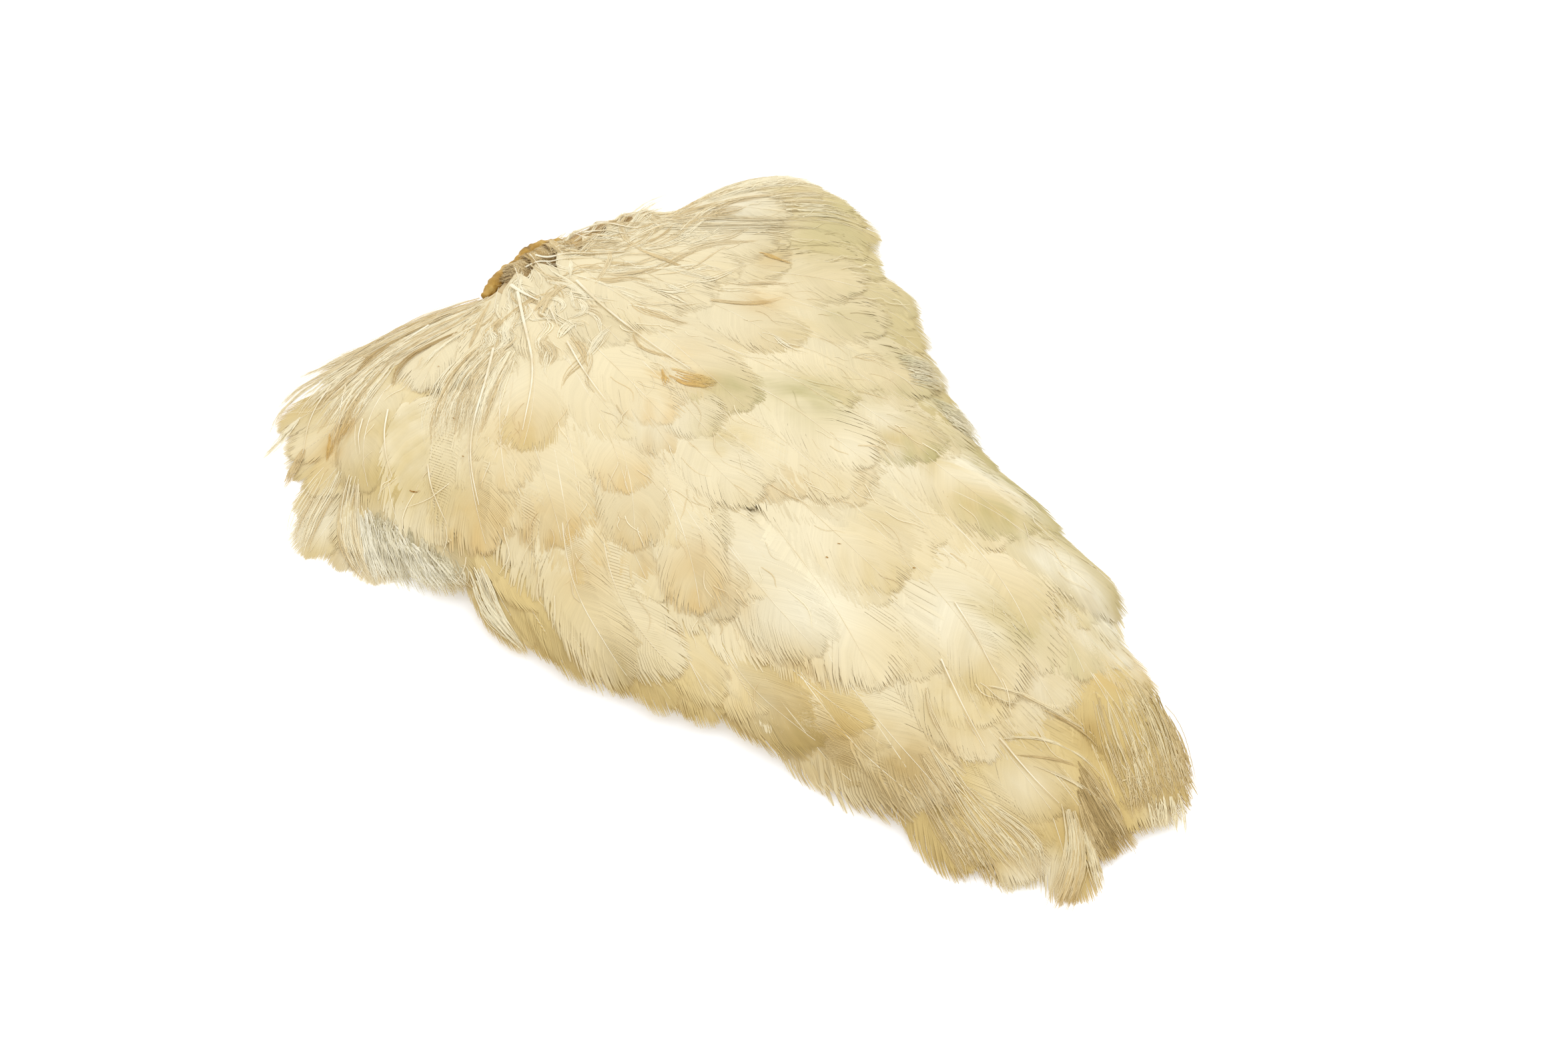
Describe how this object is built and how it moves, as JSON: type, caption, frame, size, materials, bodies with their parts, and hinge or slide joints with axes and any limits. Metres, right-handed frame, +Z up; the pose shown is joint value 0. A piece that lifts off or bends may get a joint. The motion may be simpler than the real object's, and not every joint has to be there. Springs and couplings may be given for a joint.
{
  "type": "hen saddle hackle",
  "caption": "Dried saddle patch of a cream hen: a flat piece of skin with soft rounded feathers shingled back from its cut front edge, kept for its hackle feathers.",
  "frame": {"origin": "on the table, under the middle of the patch, on the flat underside of the skin", "axes": "+X runs tailward along the spine, +Y is the bird's right flank, +Z is up"},
  "size_m": [0.1759, 0.1289, 0.0103],
  "materials": {
    "dried_skin": "dry, crusted, amber to tan",
    "saddle_feathers": "soft satin vanes with paler shafts",
    "flank_feathers": "loose, downy, half matt",
    "tail_feathers": "worn tan tips, half matt"
  },
  "bodies": {
    "root": {"skin": "dried_skin", "tail_feather_01": "tail_feathers", "tail_feather_02": "tail_feathers", "tail_feather_03": "tail_feathers", "tail_feather_04": "tail_feathers", "tail_feather_05": "tail_feathers", "tail_feather_06": "tail_feathers", "tail_feather_07": "tail_feathers", "tail_feather_08": "tail_feathers", "rear_saddle_feather_01": "saddle_feathers", "rear_saddle_feather_02": "saddle_feathers", "rear_saddle_feather_03": "saddle_feathers", "rear_saddle_feather_04": "saddle_feathers", "rear_saddle_feather_05": "saddle_feathers", "left_flank_feather_01": "flank_feathers", "left_flank_feather_02": "flank_feathers", "left_flank_feather_03": "flank_feathers", "left_flank_feather_04": "flank_feathers", "left_flank_feather_05": "flank_feathers", "left_flank_feather_06": "flank_feathers", "left_flank_feather_07": "flank_feathers", "left_flank_feather_08": "flank_feathers", "left_flank_feather_09": "flank_feathers", "left_flank_feather_10": "flank_feathers", "left_flank_feather_11": "flank_feathers", "left_flank_feather_12": "flank_feathers", "right_flank_feather_01": "flank_feathers", "right_flank_feather_02": "flank_feathers", "right_flank_feather_03": "flank_feathers", "right_flank_feather_04": "flank_feathers", "right_flank_feather_05": "flank_feathers", "right_flank_feather_06": "flank_feathers", "right_flank_feather_07": "flank_feathers", "right_flank_feather_08": "flank_feathers", "right_flank_feather_09": "flank_feathers", "right_flank_feather_10": "flank_feathers", "right_flank_feather_11": "flank_feathers", "right_flank_feather_12": "flank_feathers", "mid_saddle_feather_01": "saddle_feathers", "mid_saddle_feather_02": "saddle_feathers", "mid_saddle_feather_03": "saddle_feathers", "mid_saddle_feather_04": "saddle_feathers", "mid_saddle_feather_05": "saddle_feathers", "mid_saddle_feather_06": "saddle_feathers", "mid_saddle_feather_07": "saddle_feathers", "mid_saddle_feather_08": "saddle_feathers", "front_saddle_feather_01": "saddle_feathers", "front_saddle_feather_02": "saddle_feathers", "front_saddle_feather_03": "saddle_feathers", "front_saddle_feather_04": "saddle_feathers", "front_saddle_feather_05": "saddle_feathers", "front_saddle_feather_06": "saddle_feathers", "front_saddle_feather_07": "saddle_feathers", "front_saddle_feather_08": "saddle_feathers", "front_saddle_feather_09": "saddle_feathers", "front_saddle_feather_10": "saddle_feathers", "front_saddle_feather_11": "saddle_feathers", "front_saddle_feather_12": "saddle_feathers", "front_saddle_feather_13": "saddle_feathers", "front_saddle_feather_14": "saddle_feathers"}
  },
  "joints": []
}
